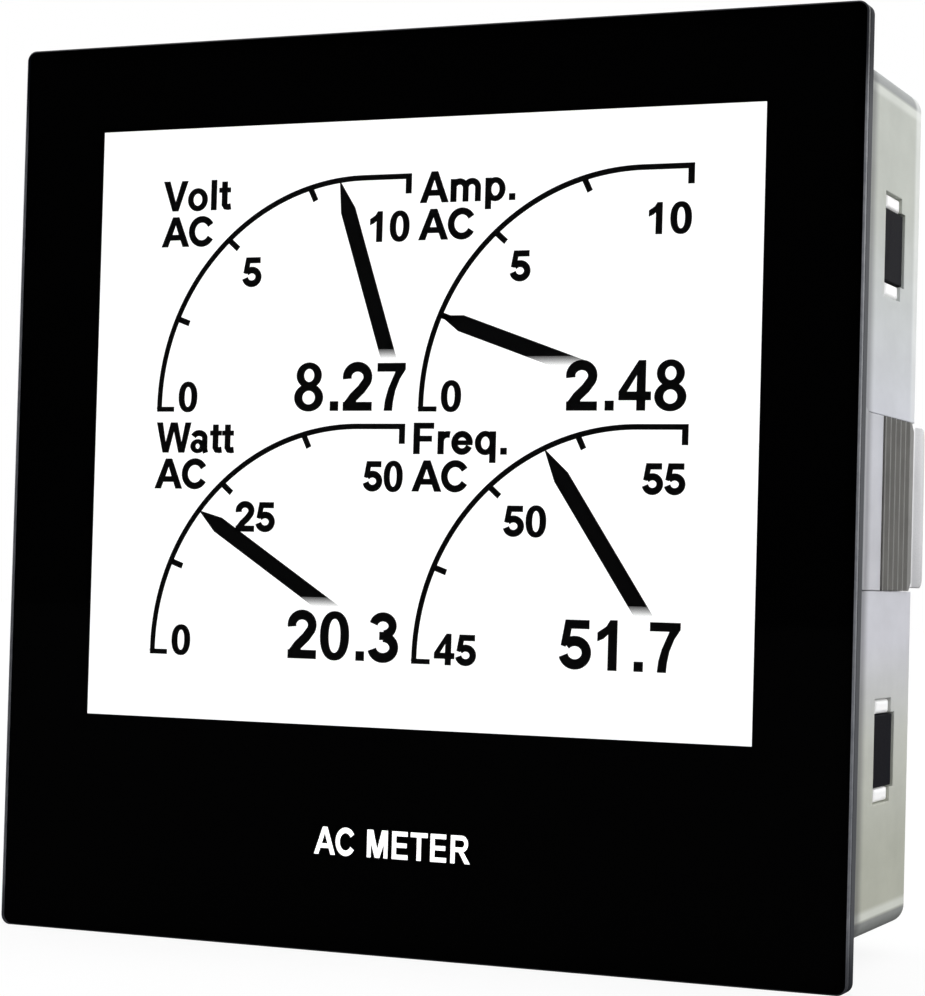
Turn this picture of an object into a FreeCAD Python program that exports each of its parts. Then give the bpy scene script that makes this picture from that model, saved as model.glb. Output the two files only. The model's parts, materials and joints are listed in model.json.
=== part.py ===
import FreeCAD, Part
import math
import os

from FreeCAD import Vector

# Square panel meter with a lit graphic display, clamped into a 68 mm panel cut-out.
# Millimetres. X runs right and Z up as seen from the front, Y runs back through the panel.
# The origin is the centre of the cut-out, on the panel's front surface, so the bezel is at Y < 0.
# Every shape is built in place. Right-hand side pieces are mirrored in X for the left-hand side.

# ---- driving dimensions: front stack, case and view area
BEZEL = 72.0
BEZEL_CORNER = 0.8
CUTOUT = 68.0
CUTOUT_CLEARANCE = 0.3
BODY = CUTOUT - 2 * CUTOUT_CLEARANCE
BODY_CORNER = 1.5
REAR_EDGE_R = 0.7
DEPTH = 25.0
WALL = 1.8
WINDOW_T = 0.5
MASK_T = 0.1
FLANGE_T = 1.0
GASKET_T = 0.5
VIEW_W = 56.9
VIEW_H = 47.5
VIEW_X, VIEW_Z = -0.2, 5.3
GAP = 0.1

# ---- depths (Y) worked out from the stack
FLANGE_REAR = -GASKET_T
FLANGE_FRONT = FLANGE_REAR - FLANGE_T
MASK_FRONT = FLANGE_FRONT - MASK_T
FRONT = MASK_FRONT - WINDOW_T
REAR = FRONT + DEPTH
REAR_INSIDE = REAR - WALL
HALF_BODY = BODY / 2
HALF_INSIDE = HALF_BODY - WALL

# ---- display unit: glass, backlight and the black frame that snaps into the case
FRAME_HALF = HALF_INSIDE - 0.2
FRAME_FRONT = FLANGE_FRONT + GAP
FRAME_REAR = 4.4
POCKET_HALF_X = 29.9
POCKET_LOW, POCKET_HIGH = -25.4, 30.95
POLARIZER_T = 0.2
GLASS_T = 0.7
GLASS_HALF_X = 29.8
GLASS_TOP = 30.8
FRONT_GLASS_LOW = -20.4
REAR_GLASS_LOW = -25.2
POLARIZER_INSET = 0.6
GUIDE_HALF_X = 29.0
GUIDE_LOW, GUIDE_HIGH = -20.0, 30.2
GUIDE_FRONT, GUIDE_T = 1.2, 3.0
TRAY_T = 0.8
TRAY_RIM = 0.7
TRAY_FRONT = FRAME_REAR + GAP
TRAY_WALL_FRONT = 0.5
LED_COUNT = 8
FLEX_W, FLEX_T = 24.0, 0.15
FLEX_SLOT_LOW = -27.6
FLEX_RUN_Z = -26.5

# ---- snap lugs of the display frame, in slots through the case's side walls
LUG_ROWS = (20.25, -19.35)
LUG_H = 5.6
LUG_LEAD = 0.3
LUG_GAP = 0.15
SLOT_FRONT, SLOT_REAR = 12.1, 18.0
SLOT_END_REAR = 16.9
SLOT_H = 8.2
SLOT_END_H = (SLOT_H - LUG_H) / 2
LUG_FRONT = SLOT_FRONT + LUG_GAP
LUG_REAR = SLOT_REAR - LUG_GAP
LUG_OUTER_X = HALF_BODY - 0.1
ARM_T = 1.2
NOSE_HALF_Z = SLOT_END_H / 2 - GAP
NOSE_FRONT = SLOT_FRONT + 1.0
NOSE_OUTER_X = HALF_BODY - 0.15
NOSE_R = 0.3

# ---- sliding mounting clips and their channels
LIP_T = 0.6
LIP_HALF_Z = 6.85
UNDERCUT_HALF_Z = 8.1
CHANNEL_FLOOR = HALF_BODY - 1.4
CHANNEL_FRONT = 0.0
CHANNEL_BACKING = 1.3
BACKING_HALF_Z = 9.3
RACK_PITCH, RACK_H, RACK_HALF_Z = 1.0, 0.3, 2.4
CLIP_HALF_Z = 6.8
CLIP_TONGUE_HALF_Z = 8.0
CLIP_FRONT = 2.1
CLIP_FOOT_STEP = 0.2
CLIP_FOOT_X = 35.2
CLIP_REAR = REAR - 1.4
GRIP_FRONT = 12.8
GRIP_SEAT_X = 33.3
GRIP_OUTER_X = 33.9
GRIP_RIB_PITCH, GRIP_RIB_DEPTH = 1.5, 0.25
SPRING_T = 0.3
SPRING_HALF_Z = 6.55
SPRING_TAIL_Y = 25.1
PAWL_HALF_Z = 1.9
PAWL_FRONT, PAWL_REAR = 15.0, 19.5
TAB_RISE = 0.6

# ---- circuit board and its fixings
BOARD_HALF = 30.2
BOARD_FRONT, BOARD_T = 12.0, 1.6
BOARD_REAR = BOARD_FRONT + BOARD_T
POST_XZ = 27.0
POST_R, POST_BORE_R = 2.3, 1.05
SCREW_R, SCREW_HEAD_R, SCREW_HEAD_H, SCREW_L = 1.0, 1.8, 1.3, 7.0

# ---- rear connections and controls
SHROUD_T = 0.9
MEASURING = {"name": "measuring", "poles": 4, "pitch": 5.08, "x": -11.5, "z": -20.5}
SUPPLY = {"name": "supply", "poles": 2, "pitch": 3.81, "x": 14.0, "z": -21.6}
BASE_PITCH = 5.08
PIN_HALF = 0.5
PIN_TAIL = 1.1
BUTTONS = {"1": (-4.0, 22.0), "2": (-14.0, 22.0)}
BUTTON_R, BUTTON_FLANGE_R = 1.7, 2.6
BUTTON_PROUD = 0.6
SWITCH_HALF, SWITCH_H = 3.0, 3.5
USB_X, USB_Z, USB_W, USB_H = 14.0, 22.0, 7.7, 3.9
USB_SHEET = 0.3
LABEL_W, LABEL_H, LABEL_Z = 30.0, 17.0, 3.0
VENT_X, VENT_W, VENT_H, VENT_PITCH, VENT_ROWS = 23.0, 9.0, 1.2, 2.6, 5


# ---- small builders
def block(x0, x1, y0, y1, z0, z1):
    return Part.makeBox(x1 - x0, y1 - y0, z1 - z0, Vector(x0, y0, z0))


def centred(half_x, y0, y1, z0, z1, x=0.0):
    return block(x - half_x, x + half_x, y0, y1, z0, z1)


def rod(x, z, radius, y0, y1):
    return Part.makeCylinder(radius, y1 - y0, Vector(x, y0, z), Vector(0, 1, 0))


def upright(x, y, radius, z0, z1):
    return Part.makeCylinder(radius, z1 - z0, Vector(x, y, z0), Vector(0, 0, 1))


def plate(half_x, half_z, y0, y1, corner):
    """A flat slab facing Y whose four corners are rounded."""
    slab = block(-half_x, half_x, y0, y1, -half_z, half_z)
    along_y = [e for e in slab.Edges if abs(e.tangentAt(e.FirstParameter).y) > 0.99]
    return slab.makeFillet(corner, along_y)


def prism(points, z0, z1):
    """Extrudes a closed outline of (x, y) points up from z0 to z1."""
    corners = [Vector(x, y, z0) for x, y in points]
    face = Part.Face(Part.makePolygon(corners + corners[:1]))
    return face.extrude(Vector(0, 0, z1 - z0))


def mirrored(shape):
    return shape.mirror(Vector(0, 0, 0), Vector(1, 0, 0))


def both_sides(shape):
    return [shape, mirrored(shape)]


def join(shapes):
    return shapes[0].multiFuse(shapes[1:]).removeSplitter()


def export(name, shape):
    solids = shape.Solids
    if not solids or not all(s.isValid() and s.Volume > 0 for s in solids):
        raise ValueError(f"{name} is not a set of valid closed solids")
    kept = solids[0] if len(solids) == 1 else Part.Compound(solids)
    kept.exportStep(f"parts/{name}.step")


# ---- front plate, printed mask and panel gasket
def front_window():
    sheet = plate(BEZEL / 2, BEZEL / 2, FRONT, MASK_FRONT, BEZEL_CORNER)
    edges = [e for e in sheet.Edges if all(abs(v.Y - FRONT) < 1e-6 for v in e.Vertexes)]
    return sheet.makeChamfer(0.12, edges)


def front_mask():
    film = plate(BEZEL / 2, BEZEL / 2, MASK_FRONT, FLANGE_FRONT, BEZEL_CORNER)
    low, high = VIEW_Z - VIEW_H / 2, VIEW_Z + VIEW_H / 2
    return film.cut(centred(VIEW_W / 2, FRONT, 0, low, high, VIEW_X))


def panel_gasket():
    outer = plate(BEZEL / 2 - 0.8, BEZEL / 2 - 0.8, FLANGE_REAR, 0, BEZEL_CORNER)
    inner = HALF_BODY + 0.2
    return outer.cut(plate(inner, inner, FLANGE_REAR - 1, 1, BODY_CORNER))


# ---- case
def side_slot(z):
    """One snap slot through the right-hand wall at height z, with a shorter opening at each end."""
    x0, x1 = HALF_INSIDE - 1, HALF_BODY + 1
    half = LUG_H / 2 + LUG_GAP
    ends = block(x0, x1, SLOT_FRONT, SLOT_END_REAR, z - SLOT_H / 2, z + SLOT_H / 2)
    return ends.fuse(block(x0, x1, SLOT_FRONT, SLOT_REAR, z - half, z + half))


def clip_channel():
    """The undercut channel that a clip slides in, open at the rear."""
    open_rear = REAR + 1
    lips = block(CHANNEL_FLOOR, HALF_BODY + 1, CHANNEL_FRONT, open_rear, -LIP_HALF_Z, LIP_HALF_Z)
    undercut = block(
        CHANNEL_FLOOR, HALF_BODY - LIP_T, CHANNEL_FRONT, open_rear, -UNDERCUT_HALF_Z, UNDERCUT_HALF_Z
    )
    return lips.fuse(undercut)


def clip_rack():
    """Saw teeth on the channel floor. Their steep faces look forward and stop a clip from backing out."""
    count = int((REAR - 1.5 - CHANNEL_FRONT) / RACK_PITCH)
    first_y = CHANNEL_FRONT + 0.4
    root_x, x0, x1 = CHANNEL_FLOOR - 0.2, CHANNEL_FLOOR, CHANNEL_FLOOR + RACK_H
    points = [(root_x, first_y)]
    for i in range(count):
        y = first_y + i * RACK_PITCH
        points += [(x0, y), (x1, y + 0.1)]
    last_y = first_y + count * RACK_PITCH
    points += [(x0, last_y), (root_x, last_y)]
    return prism(points, -RACK_HALF_Z, RACK_HALF_Z)


def case_shell():
    shell = plate(HALF_BODY, HALF_BODY, FLANGE_REAR - 0.5, REAR, BODY_CORNER)
    rim = [e for e in shell.Edges if all(abs(v.Y - REAR) < 1e-6 for v in e.Vertexes)]
    shell = shell.makeFillet(REAR_EDGE_R, rim)
    flange = plate(BEZEL / 2, BEZEL / 2, FLANGE_FRONT, FLANGE_REAR, BEZEL_CORNER)
    inside = plate(HALF_INSIDE, HALF_INSIDE, FLANGE_FRONT - 1, REAR_INSIDE, 0.8)
    return join([flange, shell]).cut(inside)


def rear_openings():
    holes = [rod(x, z, BUTTON_R + 0.15, REAR_INSIDE - 1, REAR + 1) for x, z in BUTTONS.values()]
    for plug in (MEASURING, SUPPLY):
        half_x, half_z = header_half_sizes(plug)
        z0, z1 = plug["z"] - half_z - GAP, plug["z"] + half_z + GAP
        holes.append(centred(half_x + GAP, REAR_INSIDE - 1, REAR + 1, z0, z1, plug["x"]))
    z0, z1 = USB_Z - USB_H / 2 - 0.3, USB_Z + USB_H / 2 + 0.3
    holes.append(centred(USB_W / 2 + 0.3, REAR_INSIDE - 1, REAR + 1, z0, z1, USB_X))
    for side in (-1, 1):
        for row in range(VENT_ROWS):
            z = LABEL_Z + (row - (VENT_ROWS - 1) / 2) * VENT_PITCH
            low, high = z - VENT_H / 2, z + VENT_H / 2
            holes.append(centred(VENT_W / 2, REAR_INSIDE - 1, REAR + 1, low, high, side * VENT_X))
    return holes


def board_posts():
    posts, bores = [], []
    for x in (-POST_XZ, POST_XZ):
        for z in (-POST_XZ, POST_XZ):
            posts.append(rod(x, z, POST_R, BOARD_REAR, REAR_INSIDE + 0.5))
            bores.append(rod(x, z, POST_BORE_R, BOARD_REAR - 1, REAR_INSIDE))
    return posts, bores


def housing():
    posts, bores = board_posts()
    inner_x = CHANNEL_FLOOR - CHANNEL_BACKING
    backing = block(
        inner_x, HALF_INSIDE + 0.5, FLANGE_REAR, REAR_INSIDE + 0.5, -BACKING_HALF_Z, BACKING_HALF_Z
    )
    solid = join([case_shell()] + both_sides(backing) + posts)
    slots = [slot for z in LUG_ROWS for slot in both_sides(side_slot(z))]
    cuts = both_sides(clip_channel()) + slots + rear_openings() + bores
    for cut in cuts:
        solid = solid.cut(cut)
    return join([solid] + both_sides(clip_rack()))


# ---- black display frame with four snap arms
def snap_arm(z):
    arm = block(
        FRAME_HALF - ARM_T, FRAME_HALF, FRAME_REAR - 0.5, LUG_REAR, z - LUG_H / 2, z + LUG_H / 2
    )
    outline = [
        (FRAME_HALF - 0.3, LUG_FRONT),
        (LUG_OUTER_X, LUG_FRONT),
        (LUG_OUTER_X, LUG_REAR - LUG_LEAD),
        (LUG_OUTER_X - LUG_LEAD, LUG_REAR),
        (FRAME_HALF - 0.3, LUG_REAR),
    ]
    return arm.fuse(prism(outline, z - LUG_H / 2, z + LUG_H / 2))


def display_frame():
    ring = plate(FRAME_HALF, FRAME_HALF, FRAME_FRONT, FRAME_REAR, 0.8)
    ring = ring.cut(centred(POCKET_HALF_X, FRAME_FRONT - 1, FRAME_REAR + 1, POCKET_LOW, POCKET_HIGH))
    slot_half = FLEX_W / 2 + 0.5
    ring = ring.cut(centred(slot_half, FRAME_FRONT - 1, FRAME_REAR + 1, FLEX_SLOT_LOW, POCKET_LOW + 1))
    notch_x = CHANNEL_FLOOR - CHANNEL_BACKING - 0.15
    notch_z = BACKING_HALF_Z + 0.3
    notch = block(notch_x, HALF_BODY, FRAME_FRONT - 1, FRAME_REAR + 1, -notch_z, notch_z)
    for cut in both_sides(notch):
        ring = ring.cut(cut)
    arms = [arm for z in LUG_ROWS for arm in both_sides(snap_arm(z))]
    return join([ring] + arms)


# ---- liquid crystal cell
def lcd_sheet(y0, thickness, low, inset=0.0):
    half = GLASS_HALF_X - inset
    return centred(half, y0, y0 + thickness, low + inset, GLASS_TOP - inset)


def ribbon(points, corner_r, thickness, half_width):
    """A thin strip along (y, z) points, bent round corner_r at its one inner corner, centred on X."""
    (y0, z0), (y1, z1), (y2, z2) = points
    t = thickness / 2
    outer, inner = corner_r + t, corner_r - t
    cy, cz = y1 + corner_r, z1 + corner_r
    down = block(-half_width, half_width, y0 - t, y0 + t, cz, z0)
    back = block(-half_width, half_width, cy, y2, z1 - t, z1 + t)
    ring = Part.makeCylinder(outer, 2 * half_width, Vector(-half_width, cy, cz), Vector(1, 0, 0))
    ring = ring.cut(Part.makeCylinder(inner, 2 * half_width, Vector(-half_width, cy, cz), Vector(1, 0, 0)))
    quarter = ring.common(block(-half_width, half_width, cy - 2 * outer, cy, cz - 2 * outer, cz))
    return join([down, quarter, back])


def lcd_parts():
    polarizer_front = FRAME_FRONT
    glass_front = polarizer_front + POLARIZER_T
    glass_rear = glass_front + GLASS_T
    polarizer_rear = glass_rear + GLASS_T
    flex_y = glass_rear - FLEX_T / 2
    path = [(flex_y, FRONT_GLASS_LOW - 0.8), (flex_y, FLEX_RUN_Z), (BOARD_FRONT - 1.1, FLEX_RUN_Z)]
    return {
        "lcd_front_polarizer": lcd_sheet(polarizer_front, POLARIZER_T, FRONT_GLASS_LOW, POLARIZER_INSET),
        "lcd_front_glass": lcd_sheet(glass_front, GLASS_T, FRONT_GLASS_LOW),
        "lcd_rear_glass": lcd_sheet(glass_rear, GLASS_T, REAR_GLASS_LOW),
        "lcd_rear_polarizer": lcd_sheet(polarizer_rear, POLARIZER_T, FRONT_GLASS_LOW, POLARIZER_INSET),
        "lcd_flex_cable": ribbon(path, 0.9, FLEX_T, FLEX_W / 2),
    }


# ---- backlight
def tray_post(z):
    """A white post beside a snap arm; its round nose fills the end of the case slot."""
    rear = SLOT_END_REAR - GAP
    low, high = z - NOSE_HALF_Z, z + NOSE_HALF_Z
    stem = block(FRAME_HALF - ARM_T + GAP, FRAME_HALF, TRAY_FRONT, rear, low, high)
    nose = block(FRAME_HALF - GAP, NOSE_OUTER_X, NOSE_FRONT, rear, low, high)
    outer_edges = [e for e in nose.Edges if min(v.X for v in e.Vertexes) > NOSE_OUTER_X - GAP]
    return stem.fuse(nose.makeFillet(NOSE_R, outer_edges))


def reflector_tray():
    half = FRAME_HALF - 0.1
    tray_rear = TRAY_FRONT + TRAY_T
    floor = plate(half, half, TRAY_FRONT, tray_rear, 0.8)
    outer_x, low, high = GUIDE_HALF_X + GAP + TRAY_RIM, -24.9, GUIDE_HIGH + GAP + 0.55
    rim = centred(outer_x, TRAY_WALL_FRONT, TRAY_FRONT + 0.1, low, high)
    rim = rim.cut(
        centred(outer_x - TRAY_RIM, TRAY_WALL_FRONT - 1, TRAY_FRONT, low + TRAY_RIM, GUIDE_HIGH + GAP)
    )
    slot_half = FLEX_W / 2 + 0.5
    cuts = [centred(slot_half, TRAY_FRONT - 1, tray_rear + 1, FLEX_SLOT_LOW, POCKET_LOW)]
    notch_x = CHANNEL_FLOOR - CHANNEL_BACKING - 0.15
    notch_z = BACKING_HALF_Z + 0.3
    cuts += both_sides(block(notch_x, HALF_BODY, TRAY_FRONT - 1, tray_rear + 1, -notch_z, notch_z))
    for z in LUG_ROWS:
        arm_z = LUG_H / 2 + GAP
        arm_x = FRAME_HALF - ARM_T - GAP
        cuts += both_sides(block(arm_x, HALF_BODY, TRAY_FRONT - 1, tray_rear + 1, z - arm_z, z + arm_z))
    for cut in cuts:
        floor = floor.cut(cut)
    end = (LUG_H + SLOT_END_H) / 2
    posts = [
        post for z in LUG_ROWS for middle in (z - end, z + end) for post in both_sides(tray_post(middle))
    ]
    return join([floor, rim] + posts)


def backlight_parts():
    guide_rear = GUIDE_FRONT + GUIDE_T
    sheet_rear = TRAY_FRONT - 0.05
    board_z = GUIDE_LOW - 2.0
    leds = []
    for i in range(LED_COUNT):
        x = (i - (LED_COUNT - 1) / 2) * (2 * GUIDE_HALF_X / LED_COUNT)
        leds.append(centred(1.6, GUIDE_FRONT + 0.6, guide_rear - 0.6, board_z, GUIDE_LOW - 0.1, x))
    return {
        "diffuser_sheet": centred(
            GUIDE_HALF_X, GUIDE_FRONT - 0.35, GUIDE_FRONT - 0.1, GUIDE_LOW, GUIDE_HIGH
        ),
        "light_guide": centred(GUIDE_HALF_X, GUIDE_FRONT, guide_rear, GUIDE_LOW, GUIDE_HIGH),
        "reflector_sheet": centred(GUIDE_HALF_X, sheet_rear - 0.2, sheet_rear, GUIDE_LOW, GUIDE_HIGH),
        "reflector_tray": reflector_tray(),
        "backlight_board": centred(GUIDE_HALF_X - 0.5, GUIDE_FRONT, guide_rear, board_z - 1.0, board_z),
        "backlight_leds": Part.Compound(leds),
    }


# ---- circuit board and what stands on its front face
def header_pin_places(plug):
    first = plug["x"] - (plug["poles"] - 1) / 2 * plug["pitch"]
    return [first + i * plug["pitch"] for i in range(plug["poles"])]


def main_board():
    board = plate(BOARD_HALF, BOARD_HALF, BOARD_FRONT, BOARD_REAR, 1.0)
    holes = [
        rod(x, z, SCREW_R + 0.12, BOARD_FRONT - 1, BOARD_REAR + 1)
        for x in (-POST_XZ, POST_XZ)
        for z in (-POST_XZ, POST_XZ)
    ]
    for plug in (MEASURING, SUPPLY):
        holes += [
            rod(x, plug["z"], 0.8, BOARD_FRONT - 1, BOARD_REAR + 1) for x in header_pin_places(plug)
        ]
    for hole in holes:
        board = board.cut(hole)
    return board


def on_board(half_x, half_z, height, x, z):
    return centred(half_x, BOARD_FRONT - height, BOARD_FRONT, z - half_z, z + half_z, x)


def electrolytic_capacitors():
    cans = []
    for x, z in ((20.0, 8.0), (12.5, 13.0), (20.5, 15.5)):
        can = rod(x, z, 3.1, BOARD_FRONT - 5.8, BOARD_FRONT)
        rim = [e for e in can.Edges if all(abs(v.Y - BOARD_FRONT + 5.8) < 1e-6 for v in e.Vertexes)]
        cans.append(can.makeFillet(0.4, rim[:1]))
    return Part.Compound(cans)


def chip_resistors():
    rows = ((-18.0, 12.0), (-18.0, 4.0), (6.0, -6.0), (-2.0, 16.0))
    return Part.Compound(
        [on_board(0.8, 0.45, 0.6, x + 2.4 * i, z) for x, z in rows for i in range(6)]
    )


def current_shunt():
    """A bridge of resistance metal between the two current poles."""
    x0, x1, z, top = -19.0, -9.0, -10.0, BOARD_FRONT - 3.0
    bridge = block(x0, x1, top, top + 0.8, z - 2, z + 2)
    feet = [block(x, x + 0.8, top, BOARD_FRONT, z - 2, z + 2) for x in (x0, x1 - 0.8)]
    return join([bridge] + feet)


def flex_connector():
    body = on_board(FLEX_W / 2 + 1.0, 1.5, 2.1, 0, FLEX_RUN_Z)
    mouth = centred(
        FLEX_W / 2 + 0.2, BOARD_FRONT - 3, BOARD_FRONT - 1.0, FLEX_RUN_Z - 0.2, FLEX_RUN_Z + 0.2
    )
    return body.cut(mouth)


def board_screws():
    screws = []
    head_front = BOARD_FRONT - SCREW_HEAD_H
    for x in (-POST_XZ, POST_XZ):
        for z in (-POST_XZ, POST_XZ):
            head = rod(x, z, SCREW_HEAD_R, head_front, BOARD_FRONT)
            shank = rod(x, z, SCREW_R, BOARD_FRONT - 0.5, BOARD_FRONT + SCREW_L)
            across = centred(1.1, head_front - 1, head_front + 0.7, z - 0.2, z + 0.2, x)
            upward = centred(0.2, head_front - 1, head_front + 0.7, z - 1.1, z + 1.1, x)
            screws.append(join([head, shank]).cut(across).cut(upward))
    return Part.Compound(screws)


def electronics():
    small_chips = [
        on_board(3.5, 2.5, 1.2, -10.0, -2.0),
        on_board(2.5, 2.0, 1.4, 14.0, -2.0),
        on_board(2.5, 2.0, 1.4, 21.0, -2.0),
        on_board(2.0, 1.6, 1.1, -20.0, 20.0),
    ]
    return {
        "main_board": main_board(),
        "processor_chip": on_board(5.0, 5.0, 1.2, 2.0, 3.0),
        "small_chips": Part.Compound(small_chips),
        "electrolytic_capacitors": electrolytic_capacitors(),
        "chip_resistors": chip_resistors(),
        "crystal_oscillator": on_board(2.5, 1.6, 1.2, 2.0, 11.5),
        "dc_converter": on_board(6.0, 5.0, 6.0, 15.0, -13.0),
        "current_shunt": current_shunt(),
        "flex_connector": flex_connector(),
        "board_screws": board_screws(),
    }


# ---- buttons and data socket on the rear
def button_parts():
    parts, switches = {}, []
    plunger_base = BOARD_REAR + SWITCH_H - 1.6
    plunger_top = BOARD_REAR + SWITCH_H + 0.8
    cap_front = plunger_top + 0.05
    for number, (x, z) in BUTTONS.items():
        shell = centred(SWITCH_HALF, BOARD_REAR, BOARD_REAR + SWITCH_H, z - SWITCH_HALF, z + SWITCH_HALF, x)
        well = rod(x, z, BUTTON_R + 0.05, plunger_base - 0.6, BOARD_REAR + SWITCH_H + 1)
        switches.append(shell.cut(well))
        cap = rod(x, z, BUTTON_R, cap_front, REAR + BUTTON_PROUD)
        tip = [e for e in cap.Edges if all(v.Y > REAR for v in e.Vertexes)]
        cap = cap.makeFillet(0.3, tip[:1])
        flange = rod(x, z, BUTTON_FLANGE_R, REAR_INSIDE - 1.0, REAR_INSIDE - 0.1)
        parts[f"button_{number}_cap"] = cap.fuse(flange).removeSplitter()
        parts[f"button_{number}_plunger"] = rod(x, z, BUTTON_R - 0.05, plunger_base, plunger_top)
    parts["switch_bodies"] = Part.Compound(switches)
    return parts


def usb_parts():
    top = REAR - 0.2
    half_w, half_h = USB_W / 2, USB_H / 2
    shell = centred(half_w, BOARD_REAR, top, USB_Z - half_h, USB_Z + half_h, USB_X)
    shell = shell.makeFillet(0.5, [e for e in shell.Edges if abs(e.tangentAt(0).y) > 0.99])
    hollow_w, hollow_h = half_w - USB_SHEET, half_h - USB_SHEET
    hollow = centred(hollow_w, BOARD_REAR + 1.0, top + 1, USB_Z - hollow_h, USB_Z + hollow_h, USB_X)
    tongue = centred(2.4, BOARD_REAR + 1.0, top - 1.0, USB_Z - 0.4, USB_Z + 0.6, USB_X)
    base = centred(hollow_w, BOARD_REAR + 1.0, BOARD_REAR + 2.6, USB_Z - hollow_h, USB_Z + hollow_h, USB_X)
    return {"usb_shell": shell.cut(hollow), "usb_tongue": join([tongue, base])}


def rear_label():
    return centred(LABEL_W / 2, REAR, REAR + 0.1, LABEL_Z - LABEL_H / 2, LABEL_Z + LABEL_H / 2)


# ---- pluggable screw terminals: header on the board, plug, contacts, rising clamps, screws
def header_half_sizes(plug):
    k = plug["pitch"] / BASE_PITCH
    return plug["poles"] * plug["pitch"] / 2 + 0.9 * k, 5.5 * k


def terminal_parts(plug):
    """Every piece of one terminal. Sizes across the pole scale with its pitch by k."""
    name, pitch, px, pz = plug["name"], plug["pitch"], plug["x"], plug["z"]
    k = pitch / BASE_PITCH
    half_x, half_z = header_half_sizes(plug)
    places = header_pin_places(plug)
    header_floor = BOARD_REAR + 2.0
    nose_front = header_floor + 0.2
    body_front = REAR + 0.1
    body_rear = body_front + 8.4 * k
    pin_top = header_floor + 5.0
    socket_rear = pin_top + 0.2
    clamp_y0, clamp_y1 = body_front + 2.4 * k, body_front + 6.6 * k
    axis_y = (clamp_y0 + clamp_y1) / 2

    shroud = centred(half_x, BOARD_REAR, REAR, pz - half_z, pz + half_z, px)
    inner_x, inner_z = half_x - SHROUD_T * k, half_z - SHROUD_T * k
    header = shroud.cut(centred(inner_x, header_floor, REAR + 1, pz - inner_z, pz + inner_z, px))
    nose_x, nose_z = inner_x - GAP, inner_z - GAP
    nose = centred(nose_x, nose_front, body_front + 1, pz - nose_z, pz + nose_z, px)
    body_z = 6.5 * k
    body = centred(half_x - 0.1, body_front, body_rear, pz - body_z, pz + body_z, px)
    shaped = [e for e in body.Edges if all(v.Y > body_rear - 1e-6 for v in e.Vertexes)]
    plug_body = join([nose, body.makeChamfer(0.4 * k, shaped)])

    parts, pins, contacts = {}, [], []
    for number, x in enumerate(places, start=1):
        header = header.cut(
            centred(PIN_HALF + 0.03, BOARD_REAR - 1, header_floor + 1, pz - 0.53, pz + 0.53, x)
        )
        pins.append(centred(PIN_HALF, BOARD_FRONT - PIN_TAIL, pin_top, pz - PIN_HALF, pz + PIN_HALF, x))
        strip_z0, strip_z1 = pz + 0.45, pz + 0.45 + 0.75 * k
        socket = centred(1.15 * k, nose_front + 0.3, socket_rear, pz - 0.9, strip_z1, x)
        socket = socket.cut(
            centred(PIN_HALF + 0.06, nose_front - 1, socket_rear + 1, pz - 0.56, pz + 0.56, x)
        )
        strip = centred(1.1 * k, socket_rear - 0.3, clamp_y1 + 0.1 * k, strip_z0, strip_z1, x)
        strip = strip.cut(
            centred(PIN_HALF + 0.06, nose_front - 1, socket_rear, pz - 0.56, pz + 0.56, x)
        )
        contacts.append(join([socket, strip]))
        cavities = [
            centred(1.25 * k, nose_front - 1, socket_rear + 0.1, pz - 1.0, strip_z1 + 0.1, x),
            centred(1.25 * k, socket_rear - 0.5, clamp_y0, strip_z0 - 0.1, strip_z1 + 0.1, x),
            centred(2.12 * k, clamp_y0 - 0.15, clamp_y1 + 0.15, pz - 3.7 * k, pz + 4.55 * k, x),
            centred(1.3 * k, clamp_y1, body_rear + 1, pz - 2.6 * k, pz + 0.35, x),
            upright(x, axis_y, 1.3 * k, pz + 4 * k, pz + 5.5 * k),
            upright(x, axis_y, 1.9 * k, pz + 4.9 * k, pz + 7.5 * k),
        ]
        for cavity in cavities:
            plug_body = plug_body.cut(cavity)
        clamp = centred(2.0 * k, clamp_y0, clamp_y1, pz - 3.55 * k, pz + 2.3 * k, x)
        clamp = clamp.cut(
            centred(1.4 * k, clamp_y0 - 1, clamp_y1 + 1, pz - 2.75 * k, strip_z1 + 0.08, x)
        )
        clamp = clamp.cut(upright(x, axis_y, 1.2 * k + 0.05, pz, pz + 5 * k))
        parts[f"{name}_clamp_{number}"] = clamp
        shank = upright(x, axis_y, 1.2 * k, strip_z1 + 0.12, pz + 5.2 * k)
        head = upright(x, axis_y, 1.8 * k, pz + 4.95 * k, pz + 6.3 * k)
        slot = centred(
            2.2 * k, axis_y - 0.25 * k, axis_y + 0.25 * k, pz + 5.7 * k, pz + 7.0 * k, x
        )
        parts[f"{name}_screw_{number}"] = join([shank, head]).cut(slot)
    parts[f"{name}_header"] = header
    parts[f"{name}_header_pins"] = Part.Compound(pins)
    parts[f"{name}_plug"] = plug_body
    parts[f"{name}_contacts"] = Part.Compound(contacts)
    return parts


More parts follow.
